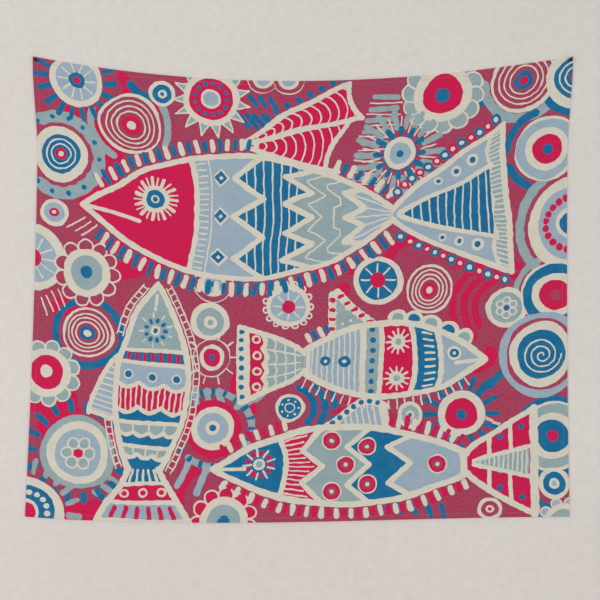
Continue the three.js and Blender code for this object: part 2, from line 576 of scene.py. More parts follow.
def daisy(x, y, radius, field, accent, core):
    rosette(x, y, (radius, "cream"), (radius * 0.76, field))
    petals(x, y, radius * 0.36, 6, radius * 0.21, "cream", accent)
    disc(core, x, y, radius * 0.15)


def sun(x, y, radius, field, accent, core):
    dash_ring(accent, x, y, radius * 0.9, max(11, round(radius / 6)), radius * 0.5, 15)
    rosette(x, y, (radius * 0.68, "cream"), (radius * 0.46, field), (radius * 0.15, core))


def star(x, y, radius, field, accent, core):
    tips = []
    for number, turn in enumerate(around(30, hand.uniform(0, 20))):
        tips.append(polar(x, y, radius * (0.62 if number % 2 else 1), turn))
    paint(accent, tips)
    sharp_stroke("cream", tips + tips[:1], THIN)
    beaded(x, y, radius * 0.7, field, "blue", core)


def burst(x, y, radius, field, accent, core):
    for turn in around(18):
        stroke(accent, [polar(x, y, radius * 0.6, turn), polar(x, y, radius, turn)], 16)
    for turn in around(18, 10):
        stroke("cream", [polar(x, y, radius * 0.5, turn), polar(x, y, radius * 0.86, turn)], THIN)
    sun(x, y, radius * 0.56, field, core, core)


def coil(x, y, radius, field, accent, core):
    rosette(x, y, (radius, accent), (radius * 0.84, core), (radius * 0.76, "cream"), (radius * 0.58, field))
    angle = np.linspace(0, math.tau * 3, 80)
    reach = radius * 0.47 * (1 - 0.93 * angle / angle[-1])
    stroke("cream", np.column_stack((x + reach * np.cos(angle), y + reach * np.sin(angle))), THIN)


SWEEPS = (  # flat crimson over the mottled ground: x, y, radius, start and end in degrees, width
    (70, 262, 150, -80, 60, 58), (270, 150, 122, 120, 200, 40), (60, 640, 60, -60, 70, 70),
    (360, 800, 250, 186, 268, 52), (30, 1000, 60, -100, 40, 110), (150, 1100, 178, 20, 110, 64),
    (210, 1010, 60, -90, 60, 60), (1010, 700, 150, 150, 215, 40), (1250, 800, 60, 20, 90, 44),
    (1352, 694, 92, 150, 300, 20), (1352, 694, 122, 140, 290, 20), (1352, 694, 154, 130, 262, 20),
    (1100, 560, 90, 190, 290, 30), (860, 640, 90, 200, 300, 30), (640, 60, 60, 120, 230, 22),
    (330, 40, 60, 60, 150, 34), (210, 60, 60, -40, 60, 30), (430, 700, 300, 170, 228, 26),
    (270, 560, 70, 190, 300, 26), (560, 1240, 130, 170, 240, 26), (980, 260, 70, 40, 150, 24),
    (640, 900, 60, 100, 220, 26),
)
HALOS = (  # ink, x, y, radius, start and end in degrees, width
    ("sage", 272, 152, 110, -50, 28, 20), ("sage", 272, 152, 110, 118, 196, 20),
    ("sage", 70, 264, 108, -120, 124, 34), ("blue", 330, 10, 60, 60, 150, 24),
    ("blue", 158, 762, 94, -60, 118, 20), ("blue", 158, 762, 94, 142, 262, 20),
    ("sage", 140, 1104, 96, 0, 360, 18), ("sage", 520, 1020, 108, 190, 360, 20),
    ("sage", 520, 1020, 108, 20, 128, 20), ("blue", 1258, 54, 44, 60, 150, 24),
    ("sage", 1386, 44, 112, 20, 180, 26), ("blue", 1464, 252, 114, 186, 250, 24),
    ("blue", 1464, 252, 114, 118, 160, 24), ("sage", 1540, 470, 154, 118, 236, 26),
    ("blue", 1480, 1066, 106, 0, 360, 20), ("blue", 738, 962, 68, -70, 40, 20),
    ("blue", 738, 962, 98, -44, 30, 20), ("blue", 738, 962, 126, -20, 14, 18),
    ("sage", 1490, 668, 112, 130, 290, 18), ("blue", 1484, 1200, 68, 96, 210, 18),
    ("blue", 1484, 1200, 96, 96, 210, 18), ("blue", 1536, 58, 96, 60, 250, 22),
)
HATCHES = (  # rows of strokes: ink, first middle, step to the next, count, degrees, length, width
    ("blue", 590, 112, 27, 4, 4, 48, 66, 15), ("blue", 622, 60, 30, 4, 3, 52, 46, 15),
    ("sage", 1000, 54, -8, 34, 8, 2, 84, 15), ("cream", 1000, 71, -8, 34, 8, 2, 96, 4),
    ("cream", 150, 468, -18, -8, 3, -40, 62, 4), ("cream", 28, 700, 16, -10, 4, 62, 60, 4),
    ("blue", 560, 592, 24, 6, 3, 70, 62, 15), ("blue", 646, 596, 34, 4, 3, 84, 52, 14),
    ("sage", 470, 930, 36, 2, 3, 82, 70, 18), ("sage", 600, 944, 26, -10, 3, -38, 50, 16),
    ("pale", 440, 1150, 52, 22, 2, 108, 104, 20), ("blue", 1330, 890, -26, 22, 4, -46, 96, 20),
    ("cream", 1290, 1000, 20, 14, 4, 24, 52, 4), ("blue", 236, 950, 12, 30, 3, 14, 50, 16),
    ("sage", 250, 1180, -20, 24, 3, 40, 60, 16), ("blue", 1010, 1250, 40, 6, 5, 78, 46, 16),
)
ROUNDELS = (
    (wheel, 122, 46, 76, "pale", "blue", "crimson"), (ringed, 272, 152, 88, "rose", "crimson", "cream"),
    (button, 362, 54, 38, "blue", "cream", "blue"), (star, 503, 60, 110, "crimson", "sage", "pale"),
    (target, 648, -6, 46, "rose", "pale", "pale"), (target, 722, -6, 46, "rose", "pale", "pale"),
    (grooved, 68, 264, 80, "blue", "crimson", "cream"), (button, 54, 432, 41, "pale", "crimson", "cream"),
    (wheel, -8, 566, 92, "pale", "crimson", "crimson"), (flower, 150, 590, 90, "sage", "rose", "blue"),
    (ringed, 158, 762, 72, "rose", "blue", "cream"), (flower, 44, 884, 88, "crimson", "sage", "cream"),
    (daisy, 140, 1104, 88, "pale", "sage", "crimson"), (beaded, 2, 1284, 104, "blue", "cream", "crimson"),
    (target, 512, 600, 55, "rose", "pale", "blue"), (button, 504, 708, 54, "sage", "cream", "sage"),
    (target, 512, 814, 55, "rose", "crimson", "blue"), (wheel, 728, 660, 60, "pale", "crimson", "crimson"),
    (button, 520, 1020, 62, "pale", "cream", "blue"), (beaded, 738, 962, 43, "blue", "cream", "blue"),
    (flower, 556, 1290, 88, "sage", "crimson", "blue"), (flower, 1158, 60, 108, "crimson", "sage", "blue"),
    (burst, 1042, 222, 124, "pale", "sage", "blue"), (ringed, 1386, 44, 96, "rose", "blue", "crimson"),
    (grooved, 1536, 58, 86, "blue", "rose", "cream"), (target, 1464, 252, 92, "pale", "crimson", "blue"),
    (beaded, 1540, 470, 128, "pale", "crimson", "blue"),
    (wheel, 985, 592, 69, "blue", "crimson", "crimson"),
    (ringed, 1132, 626, 70, "rose", "crimson", "cream"), (daisy, 1352, 694, 60, "sage", "sage", "blue"),
    (target, 1490, 668, 95, "blue", "crimson", "rose"), (coil, 1450, 834, 120, "blue", "pale", "rose"),
    (target, 1480, 1066, 100, "sage", "blue", "crimson"), (button, 1484, 1200, 44, "blue", "cream", "pale"),
    (flower, 1506, 1310, 66, "sage", "pale", "sage"), (sun, 1222, 992, 98, "crimson", "blue", "blue"),
    (button, 1078, 990, 35, "sage", "cream", "blue"), (button, 1300, 1268, 34, "rose", "cream", "crimson"),
)


def filler():
    for x, y, radius, start, end, width in SWEEPS:
        stroke("crimson", arc(x, y, radius, start, end), width)
    for ink, x, y, radius, start, end, width in HALOS:
        if end - start == 360:
            disc(ink, x, y, radius + width / 2)
        else:
            stroke(ink, arc(x, y, radius, start, end), width)
    for ink, x, y, step_x, step_y, count, degrees, length, width in HATCHES:
        for number in range(count):
            dash(ink, x + number * step_x, y + number * step_y, degrees, length, width)
    dash_ring("blue", 122, 46, 98, 18, 46, 15)
    dot_ring("blue", 70, 264, 108, 14, 7)
    dash_ring("blue", 140, 1104, 134, 18, 42, 17)
    dash_ring("sage", 2, 1284, 134, 22, 44, 15)
    dash_ring("blue", 520, 1020, 108, 20, 24, 11)
    disc("crimson", 520, 1020, 82)
    dash_ring("cream", 512, 814, 66, 10, 26, THIN)
    dot_ring("cream", 728, 660, 62, 15, 10)
    dot_ring("rose", 728, 660, 62, 15, 5)
    for design, *numbers in ROUNDELS:
        design(*numbers)


# ---- the four fish ----
def big_fish():
    upper_fin = Form((600, 186), (914, 62), fan(3, 54, 0.9), bend=-12)
    lower_fin = Form((600, 194), (868, 194), fan(3, 76, 0.9))
    for form, end in ((lower_fin, level(1, -0.06, -0.14)), (upper_fin, level(1, -0.04))):
        fin(form, end, "crimson", stripes(27, shape=level(0, 0.08)), rim=15, tip=15)
    upper_fin.beads(-1, 0.22, 1, 34, 20, [(10, "blue")])

    body = Form((132, 396), (1034, 402), lens(176, 13), bend=4)
    body.fringe(-1, 0.06, 0.56, 21, 12, 44, 15, ("cream", "blue"))
    body.fringe(-1, 0.79, 0.97, 21, 12, 40, 15, ("cream", "blue"))
    body.fringe(1, 0.06, 0.97, 21, 12, 44, 15, ("blue", "cream"))
    bands(
        body, 16,
        (level(0.345, 0.02), "crimson"),
        (level(0.395, 0.02), "pale", rays(19, first=0.25, last=1.0)),
        (zigzag(0.53, 0.045, 3), "pale", diamonds(3, 27, "blue")),
        (zigzag(0.69, 0.045, 4), "blue", stripes(24)),
        (zigzag(0.865, 0.03, 3), "sage", echoes(2)),
        (level(1), "pale", rays(5)),
    )
    body.cross("pale", level(0.395, 0.02), 18)
    body.cross("cream", level(0.395, 0.02), THIN)
    body.outline("cream", 16)
    along = np.linspace(0.02, 0.185, 8)
    stroke("cream", body.at(along, 0.24 + 0.5 * (along - 0.1)), 12)
    x, y = body.at(0.235, -0.3)
    dash_ring("cream", x, y, 50, 11, 30, 10)
    dash_ring("cream", x, y, 46, 11, 36, THIN, 16)
    rosette(x, y, (39, "cream"), (27, "blue"), (12, "cream"), (7, "blue"))

    tail = Form((1030, 402), (1352, 378), fan(16, 214, 0.82))
    wedge = Form((1046, 402), (1318, 386), fan(4, 104, 0.9))
    bands(tail, 11, (scallops(0.885, -0.03, 4), "pale"), (level(1), "sage", rays(29, first=0.15)))
    for way in (-1, 1):
        for along, size in ((0.4, 12), (0.56, 15), (0.72, 18)):
            rosette(*tail.at(along, 0.74 * way), (size, "cream"), (size * 0.5, "blue"))
        tail.beads(way, 0.06, 1, 27, 26, [(15, "blue"), (7, "cream")], [(13, "crimson"), (6, "cream")])
    fin(wedge, level(0.97), "blue", stripes(24), rim=13)
    tail.outline("cream", 15)
    tail.cross("cream", level(0.995), 17)


def tall_fish():
    side_fin = Form((262, 790), (206, 1000), lens(36, 40, 0.6, 1.8))
    fin(side_fin, level(0.97), "pale", stripes(16), rim=13, tip=13)
    body = Form((350, 604), (326, 1150), lens(96, 40), bend=-6)
    body.ladder("cream", -1, 0.03, 0.97, 14, 17, 4)
    body.ladder("cream", 1, 0.03, 0.3, 14, 17, 4)
    body.ladder("cream", 1, 0.72, 0.97, 14, 17, 4)
    bands(
        body, 12,
        (level(0.36), "sage"),
        (level(0.43), "blue", rays(7, "crimson", 11, 0.3, 0.7)),
        (scallops(0.53, 0.03, 3), "pale", spots(3, (14, "cream"), (10, "blue"), share=0.5)),
        (scallops(0.66, 0.03, 3), "crimson", rays(12)),
        (level(0.74), "blue"),
        (scallops(0.79, 0.02, 4), "sage", rays(3)),
        (level(0.87), "blue"),
        (scallops(0.91, 0.02, 3), "sage", rays(3)),
        (level(1), "blue"),
    )
    x, y = body.at(0.25, -0.05)
    dash_ring("blue", x, y, 29, 9, 16, 11)
    dash_ring("cream", x, y, 44, 9, 16, THIN, 20)
    rosette(x, y, (15, "cream"), (8, "blue"))
    body.lengthwise("cream", 0, 0.06, 0.14, 9)
    body.outline("cream", 17)
    tail = Form((326, 1140), (328, 1297), fan(42, 132, 1.1))
    bands(
        tail, 12,
        (level(0.28), "blue", rays(5, width=7)),
        (level(0.64), "crimson", spots(3, (14, "cream"), (8, "crimson"))),
        (level(0.97), "pale", rays(6, "crimson", 13, 0.3, 0.8)),
    )
    tail.cross("cream", level(0.97), 14)
    tail.outline("cream", 18)


def middle_fish():
    body = Form((1292, 836), (770, 826), lens(104, 26), bend=4)
    body.beads(1, 0.1, 0.56, 48, 13, [(28, "cream"), (17, "sage")], [(28, "cream"), (17, "blue")])
    back_fin = Form((914, 748), (862, 628), fan(66, 8, 0.9))
    speck = (4, "cream")
    specks = (spots(4, speck, share=0.3), spots(2, speck, share=0.6))
    fin(back_fin, level(0.97), "sage", *specks, rim=24)
    for side, turn in ((-1, 8), (1, -24)):
        for along in np.arange(0.1, 1, 0.2):
            dash("crimson", *back_fin.at(along, side), turn, 21, 12)
    body.fringe(1, 0.83, 0.97, 19, 10, 34, 15, ("blue", "cream"))
    body.fringe(-1, 0.1, 0.97, 22, 10, 30, THIN, ("cream",))
    bands(
        body, 15,
        (level(0.27, -0.03), "pale"),
        (level(0.41, -0.03), "blue", rays(9, width=6, first=0.25, last=0.6)),
        (level(0.58, -0.01), "crimson", suns(2, 21, "sage")),
        (level(0.67), "sage", spots(7, (8, "blue"))),
        (level(1), "pale", stripes(15), spots(1, (17, "blue"), (6, "cream"), share=0.3),
         spots(1, (15, "blue"), (5, "cream"), share=0.6)),
    )
    body.outline("cream", 18)
    body.cross("cream", level(0.965), 12)
    stroke("cream", [body.at(0.03, -0.15), body.at(0.16, -0.2)], 11)
    x, y = body.at(0.17, 0.26)
    rosette(x, y, (20, "cream"), (13, "blue"), (5, "cream"))
    tail = Form((776, 826), (592, 830), fan(24, 112, 0.75))
    bands(
        tail, 13,
        (scallops(0.64, -0.05, 4), "sage", echoes(3), rays(3)),
        (level(0.87), "crimson", spots(4, (13, "cream"), (7, "crimson"))),
        (level(1.04), "cream", spots(8, (7.5, "blue"), share=0.55)),
    )
    tail.outline("cream", 15)


def low_fish():
    back_fin = Form((806, 1038), (1014, 1000), lens(40, 38, 0.7, 1.7), bend=-14)
    fin(back_fin, level(0.98), "pale", stripes(17), rim=22, tip=20)
    back_fin.beads(-1, 0.1, 1, 25, 0, [(8, "blue")])
    for along in (0.36, 0.56):
        x, y = back_fin.at(along, -1)
        dash("crimson", x - 6, y - 22, -28, 38, 15)
    body = Form((520, 1136), (1242, 1136), lens(110, 24), bend=-4)
    body.fringe(-1, 0.05, 0.3, 20, 10, 36, 14, ("crimson", "cream"))
    body.fringe(-1, 0.68, 0.96, 20, 10, 38, 14, ("crimson", "cream"))
    body.fringe(1, 0.05, 0.97, 20, 10, 34, 15, ("cream", "crimson"))
    eyelet = ((28, "cream"), (24, "crimson"), (15, "rose"), (6, "cream"))
    bands(
        body, 15,
        (level(0.26, 0.03), "blue"),
        (zigzag(0.39, 0.04, 2), "crimson", rays(13, last=0.75)),
        (zigzag(0.57, 0.045, 2), "sage", spots(3, *eyelet)),
        (zigzag(0.73, 0.045, 2), "blue", spots(2, *eyelet)),
        (level(1), "pale", spots(1, *eyelet, share=0.45)),
    )
    body.cross("cream", level(0.98), 20)
    body.outline("cream", 18)
    stroke("cream", [body.at(0.02, -0.05), body.at(0.13, 0.02)], 11)
    x, y = body.at(0.185, -0.12)
    dash_ring("cream", x, y, 36, 9, 28, THIN + 1, 20)
    dash_ring("crimson", x, y, 34, 9, 18, 12)
    rosette(x, y, (18, "cream"), (10, "sage"))
    tail = Form((1238, 1136), (1424, 1136), fan(26, 150, 0.8))
    dotted = spots(4, (9, "blue"))
    bands(tail, 12, (level(0.34), "crimson"), (level(0.66), "crimson", dotted), (level(1), "crimson", dotted))
    wedge = Form((1256, 1136), (1418, 1136), fan(4, 44, 0.9))
    fin(wedge, level(0.97), "sage", stripes(13), rim=12)
    tail.outline("cream", 17)
    tail.cross("cream", level(1.02), 24)


filler()
big_fish()
tall_fish()
low_fish()
middle_fish()


# ---- from the painted marks to pieces of cloth ----
INKS = ("rose", "crimson", "cream", "blue", "pale", "sage")
GRID_STEP = 18.0
BORDER_STEP = 12.0
HOLE_SIDES = 20
WELD = 0.02  # points nearer than this are one


def inside(points, box, holes):
    left, top, right, bottom = box
    x, y = points.T
    kept = (x > left) & (x < right) & (y > top) & (y < bottom)
    for hole_x, hole_y, radius in holes:
        kept &= np.hypot(x - hole_x, y - hole_y) > radius
    return kept


def triangulate(points, edges, box, holes):
    """Triangles inside the box and outside the holes, with the edges kept."""
    found = delaunay_2d_cdt([Vector(point) for point in points], edges, [], 0, WELD, False)
    points = np.array([tuple(point) for point in found[0]])
    triangles = np.array(found[2])
    return points, triangles[inside(points[triangles].mean(axis=1), box, holes)]


def triangle_edges(triangles):
    """Every triangle's three directed edges, and the same edges with the lower point first."""
    directed = np.vstack((triangles[:, [0, 1]], triangles[:, [1, 2]], triangles[:, [2, 0]]))
    return directed, np.sort(directed, axis=1)


def inks_at(spots, near):
    """The number of the ink that shows at each spot: that of the last mark painted over it."""
    order = np.argsort(spots[:, 0])
    x, y = spots[order].T
    shown = np.zeros(len(spots), int)
    for ink, outline in near:
        low, high = outline.min(axis=0), outline.max(axis=0)
        first, last = np.searchsorted(x, (low[0], high[0]))
        chosen = first + np.nonzero((y[first:last] > low[1]) & (y[first:last] < high[1]))[0]
        if not len(chosen):
            continue
        at_x, at_y = x[chosen, None], y[chosen, None]
        x0, y0 = outline.T
        x1, y1 = np.roll(outline, -1, axis=0).T
        turn = (x1 - x0) * (at_y - y0) - (at_x - x0) * (y1 - y0)
        winding = ((y0 <= at_y) & (y1 > at_y) & (turn > 0)).sum(axis=1)
        winding -= ((y0 > at_y) & (y1 <= at_y) & (turn < 0)).sum(axis=1)
        shown[order[chosen[winding != 0]]] = INKS.index(ink)
    return shown


def chain(outlines):
    edges = []
    start = 0
    for outline in outlines:
        count = len(outline)
        edges += [(start + number, start + (number + 1) % count) for number in range(count)]
        start += count
    return edges


def printed_triangles(box, holes):
    """Cuts a box of the flat cloth along the edges of its print. Returns points, triangles and their inks."""
    left, top, right, bottom = box
    near = []
    for ink, outline in marks:
        low, high = outline.min(axis=0), outline.max(axis=0)
        if low[0] < right and high[0] > left and low[1] < bottom and high[1] > top:
            near.append((ink, outline))
    outlines = [resample([(left, top), (right, top), (right, bottom), (left, bottom)], BORDER_STEP, True)]
    angle = np.arange(HOLE_SIDES) / HOLE_SIDES * math.tau
    for x, y, radius in holes:
        outlines.append(np.column_stack((x + radius * np.cos(angle), y + radius * np.sin(angle))))
    outlines += [outline for _, outline in near]
    points, triangles = triangulate(np.vstack(outlines), chain(outlines), box, holes)
    inks = inks_at(points[triangles].mean(axis=1), near)

    # A second cut keeps only the edges where the ink changes or the cloth ends.
    _, edges = triangle_edges(triangles)
    edges, place, count = np.unique(edges, axis=0, return_inverse=True, return_counts=True)
    place = place.ravel()
    owner = np.tile(inks, 3)
    lowest = np.full(len(edges), len(INKS))
    highest = np.zeros(len(edges), int)
    np.minimum.at(lowest, place, owner)
    np.maximum.at(highest, place, owner)
    borders = edges[(lowest != highest) | (count == 1)]
    used, borders = np.unique(borders, return_inverse=True)
    grid_x, grid_y = np.meshgrid(np.arange(left + GRID_STEP / 2, right, GRID_STEP),
                                 np.arange(top + GRID_STEP / 2, bottom, GRID_STEP))
    loose = np.column_stack((grid_x.ravel(), grid_y.ravel()))
    points, triangles = triangulate(np.vstack((points[used], loose[inside(loose, box, holes)])),
                                    borders.reshape(-1, 2).tolist(), box, holes)
    return points, triangles, inks_at(points[triangles].mean(axis=1), near)


def mirrored(points, fold):
    """Cloth turned over at a fold: fold gives the x or y that it mirrors about, or None."""
    turned = points.copy()
    for axis, line in enumerate(fold):
        if line is not None:
            turned[:, axis] = 2 * line - turned[:, axis]
    return turned


RIM_TURNS = np.radians((45, 90, 135))
FRONT_ISLAND = (0.16, 0.84)  # start and share of the baking map's height
BACK_ISLAND = (0.0, 0.14)


def cloth_piece(name, box, printed_out, plain_out, fold=(None, None), holes=()):
    """A closed thin sheet: the printed face, its paler reverse, and a rounded rim between them."""
    round_off = abs(printed_out - plain_out) / 2
    left, top, right, bottom = box
    box = (left + round_off, top + round_off, right - round_off, bottom - round_off)
    holes = [(x, y, radius + round_off) for x, y, radius in holes]
    points, triangles, inks = printed_triangles(box, holes)
    flipped = (fold[0] is None) == (fold[1] is None)
    if flipped == (printed_out > plain_out):
        triangles = triangles[:, ::-1]
    directed, edges = triangle_edges(triangles)
    _, place, count = np.unique(edges, axis=0, return_inverse=True, return_counts=True)
    rim_edges = directed[count[place.ravel()] == 1]
    rim_inks = np.tile(inks, 3)[count[place.ravel()] == 1]
    rim_points = rim_edges[:, 0]
    after = dict(rim_edges.tolist())
    before = {end: start for start, end in rim_edges.tolist()}
    way = np.array([points[after[point]] - points[before[point]] for point in rim_points.tolist()])
    outward = np.column_stack((way[:, 1], -way[:, 0])) / np.maximum(np.hypot(*way.T), 1e-9)[:, None]
    outward[inside(points[rim_points] + outward * 0.02, box, holes)] *= -1

    middle = (printed_out + plain_out) / 2
    rise = (printed_out - plain_out) / 2
    layers = [hang(mirrored(points, fold), printed_out)]
    for turn in RIM_TURNS:
        pushed = points[rim_points] + outward * round_off * math.sin(turn)
        layers.append(hang(mirrored(pushed, fold), middle + rise * math.cos(turn)))
    layers.append(hang(mirrored(points, fold), plain_out))
    count = len(points)
    spot = {point: number for number, point in enumerate(rim_points.tolist())}
    start_row = np.array([spot[point] for point in rim_edges[:, 0].tolist()])
    end_row = np.array([spot[point] for point in rim_edges[:, 1].tolist()])
    rows = [rim_edges]
    for number in range(len(RIM_TURNS)):
        base = count + number * len(rim_points)
        rows.append(np.column_stack((base + start_row, base + end_row)))
    last = count + len(RIM_TURNS) * len(rim_points)
    rows.append(rim_edges + last)
    quads = np.vstack([np.column_stack((near[:, ::-1], far)) for near, far in zip(rows[:-1], rows[1:])])
    faces = triangles.tolist() + (triangles[:, ::-1] + last).tolist() + quads.tolist()
    piece = new_object(name, np.vstack(layers).tolist(), faces, smooth=True)
    mesh = piece.data
    material_of = np.concatenate((inks, inks + len(INKS), np.tile(rim_inks, len(rows) - 1)))
    mesh.polygons.foreach_set("material_index", material_of.astype(np.int32))
    flat = np.vstack([points] + [points[rim_points]] * len(RIM_TURNS) + [points])
    corner_points = np.zeros(len(mesh.loops), np.int32)
    mesh.loops.foreach_get("vertex_index", corner_points)
    flat = flat[corner_points]
    share_x = (flat[:, 0] - left) / (right - left)
    share_y = (bottom - flat[:, 1]) / (bottom - top)
    island = np.tile(FRONT_ISLAND, (len(flat), 1))
    island[3 * len(triangles):6 * len(triangles)] = BACK_ISLAND
    bake = np.column_stack((share_x, island[:, 0] + island[:, 1] * share_y))
    for map_name, values in (("flat", flat * MM), ("OFBake", bake)):
        mesh.uv_layers.new(name=map_name).uv.foreach_set("vector", values.astype(np.float32).ravel())
    return piece


# ---- materials ----
def linear(red, green, blue):
    def channel(value):
        value /= 255
        return value / 12.92 if value <= 0.04045 else ((value + 0.055) / 1.055) ** 2.4
    return (channel(red), channel(green), channel(blue), 1.0)


class Nodes:
    """A material's node tree, with short ways to add to it."""

    def __init__(self, name, **settings):
        self.material = bpy.data.materials.new(name)
        self.material.use_nodes = True
        self.tree = self.material.node_tree
        self.shader = self.tree.nodes["Principled BSDF"]
        for socket, value in settings.items():
            self.shader.inputs[socket.replace("_", " ")].default_value = value

    def add(self, kind, inputs=(), **properties):
        node = self.tree.nodes.new("ShaderNode" + kind)
        for key, value in properties.items():
            setattr(node, key, value)
        for socket, value in dict(inputs).items():
            self.put(node, socket, value)
        return node

    def put(self, node, socket, value):
        if isinstance(value, bpy.types.NodeSocket):
            self.tree.links.new(value, node.inputs[socket])
        else:
            node.inputs[socket].default_value = value

    def colour(self, value):
        self.put(self.shader, "Base Color", value)

    def bump(self, height, strength, distance):
        node = self.add("Bump", {"Height": height, "Strength": strength, "Distance": distance})
        self.put(self.shader, "Normal", node.outputs["Normal"])

    def object_place(self):
        return self.add("TexCoord").outputs["Object"]

    def maths(self, operation, *values):
        return self.add("Math", enumerate(values), operation=operation).outputs[0]

    def noise(self, place, scale, detail=2.0, roughness=0.5):
        settings = {"Vector": place, "Scale": scale, "Detail": detail, "Roughness": roughness}
        return self.add("TexNoise", settings).outputs["Fac"]

    def ramp(self, value, low, high, start=0.0, end=1.0):
        settings = {"Value": value, "From Min": low, "From Max": high, "To Min": start, "To Max": end}
        return self.add("MapRange", settings).outputs["Result"]

    def blend(self, share, first, second):
        node = self.add("Mix", data_type="RGBA")
        for number, value in ((0, share), (6, first), (7, second)):
            self.put(node, number, value)
        return node.outputs[2]

    def scaled(self, place, x, y):
        node = self.add("VectorMath", {0: place, 1: (x, y, 1)}, operation="MULTIPLY")
        return node.outputs[0]


# Heights and widths of the cloth's surface, in metres
YARN_PITCH = 0.0011
YARN_HEIGHT = 0.00004
SLUB_HEIGHT = 0.00012
CREASE_HEIGHT = 0.0016
DENT_DEPTH = 0.0003
DENT_HALF_WIDTH = 0.0035
HEM_STEP = 0.00045
HEM_STEP_FROM, HEM_STEP_TO = 0.0148, 0.0168


def weave(nodes, split):
    """A plain weave's ups and downs, from -1 to 1."""
    across = nodes.maths("SINE", nodes.maths("MULTIPLY", split.outputs["X"], math.tau / YARN_PITCH))
    along = nodes.maths("SINE", nodes.maths("MULTIPLY", split.outputs["Y"], math.tau / YARN_PITCH))
    return nodes.maths("MULTIPLY", across, along)


def cloth_height(nodes, place, split, yarns):
    """The weave, slight creases, and the ripples that the hem's stitches pull into the cloth."""
    yarn_height = nodes.maths("MULTIPLY", yarns, YARN_HEIGHT)
    slub = nodes.maths("MULTIPLY", nodes.noise(nodes.scaled(place, 1, 9), 120.0), SLUB_HEIGHT)
    crease = nodes.maths("MULTIPLY", nodes.noise(place, 9.0, 3.0), CREASE_HEIGHT)
    edges = []
    for axis, size in (("X", WIDTH * MM), ("Y", HEIGHT * MM)):
        spot = split.outputs[axis]
        edges.append(nodes.maths("MINIMUM", spot, nodes.maths("SUBTRACT", size, spot)))
    edge = nodes.maths("MINIMUM", *edges)
    from_seam = nodes.maths("ABSOLUTE", nodes.maths("SUBTRACT", edge, STITCH_INSET * MM))
    near_seam = nodes.ramp(from_seam, 0.0, DENT_HALF_WIDTH, 1, 0)
    dents = nodes.maths("MULTIPLY", near_seam, nodes.ramp(nodes.noise(place, 260.0), 0.3, 0.7, 0.5, 1.0))
    step = nodes.ramp(edge, HEM_STEP_FROM, HEM_STEP_TO, HEM_STEP, 0.0)
    height = nodes.maths("ADD", yarn_height, nodes.maths("ADD", slub, crease))
    dent = nodes.maths("MULTIPLY", dents, DENT_DEPTH)
    return nodes.maths("ADD", height, nodes.maths("SUBTRACT", step, dent))


def cloth_ink(name, colour, blotch, grain, reverse):
    """Printed cloth. blotch and grain are the colours that wander in broadly and finely."""
    nodes = Nodes(name, Roughness=0.86, Sheen_Weight=0.05, Sheen_Roughness=0.4)
    nodes.shader.inputs["Specular IOR Level"].default_value = 0.2
    place = nodes.add("UVMap", uv_map="flat").outputs["UV"]
    shade = nodes.blend(nodes.ramp(nodes.noise(place, 26.0, 4.0, 0.62), 0.42, 0.68), colour, blotch)
    speckle = nodes.ramp(nodes.noise(place, 250.0, 3.0, 0.65), 0.45, 0.62)
    shade = nodes.blend(speckle, shade, grain)
    if reverse:
        shade = nodes.blend(0.72, shade, linear(226, 220, 212))
    split = nodes.add("SeparateXYZ", {"Vector": place})
    yarns = weave(nodes, split)
    # Painted shade: the same weave heights that drive the bump also darken the colour by up to 12% toward a
    # dark grey, standing in for the shading of the yarns.
    shade = nodes.blend(nodes.ramp(yarns, -1, 1, 0.0, 0.12), shade, linear(40, 36, 48))
    nodes.colour(shade)
    nodes.bump(cloth_height(nodes, place, split, yarns), 1.0, 1.0)
    return nodes.material


INK_COLOURS = {  # colour, broad change, fine grain
    "rose": ((188, 38, 82), (170, 60, 94), (152, 92, 113)),
    "crimson": ((213, 14, 76), (200, 20, 78), (212, 36, 90)),
    "cream": ((221, 217, 201), (213, 208, 192), (226, 221, 207)),
    "blue": ((16, 112, 160), (36, 128, 171), (14, 101, 150)),
    "pale": ((160, 181, 197), (146, 170, 191), (168, 186, 199)),
    "sage": ((152, 175, 178), (166, 186, 188), (144, 167, 174)),
}


def ink_materials():
    made = []
    for reverse in (False, True):
        for ink in INKS:
            colours = [linear(*colour) for colour in INK_COLOURS[ink]]
            made.append(cloth_ink("reverse_" + ink if reverse else "print_" + ink, *colours, reverse))
    return made


def thread_material():
    nodes = Nodes("thread", Roughness=0.6, Sheen_Weight=0.2)
    place = nodes.object_place()
    twist = nodes.noise(place, 900.0)
    nodes.colour(nodes.blend(twist, linear(206, 174, 168), linear(178, 146, 142)))
    nodes.bump(twist, 0.4, 0.0003)
    return nodes.material


def plastic_material():
    nodes = Nodes("black_plastic", Roughness=0.3, Coat_Weight=0.0)
    nodes.shader.inputs["Specular IOR Level"].default_value = 0.3
    place = nodes.object_place()
    worn = nodes.ramp(nodes.noise(place, 420.0, 3.0), 0.45, 0.75)
    nodes.colour(nodes.blend(worn, (0.006, 0.006, 0.007, 1), (0.016, 0.016, 0.018, 1)))
    nodes.put(nodes.shader, "Roughness", nodes.ramp(nodes.noise(place, 800.0), 0.3, 0.7, 0.22, 0.36))
    return nodes.material


def steel_material():
    nodes = Nodes("needle_steel", Metallic=1.0, Roughness=0.25)
    place = nodes.object_place()
    drawn = nodes.noise(nodes.scaled(place, 3000, 60), 1.0)
    nodes.colour(nodes.blend(drawn, (0.50, 0.51, 0.52, 1), (0.64, 0.65, 0.66, 1)))
    nodes.put(nodes.shader, "Roughness", nodes.ramp(drawn, 0.3, 0.7, 0.18, 0.32))
    return nodes.material


# ---- the tapestry ----
HOLE_RADIUS = NEEDLE_RADIUS + HOLE_CLEARANCE
pin_holes = [(x, y, HOLE_RADIUS) for x, y in PIN_SPOTS.tolist()]
cloth_materials = ink_materials()


def dress(piece, node, materials):
    for material in materials:
        piece.data.materials.append(material)
    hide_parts(node)


def bend_with_swing(piece):
    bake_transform(piece)


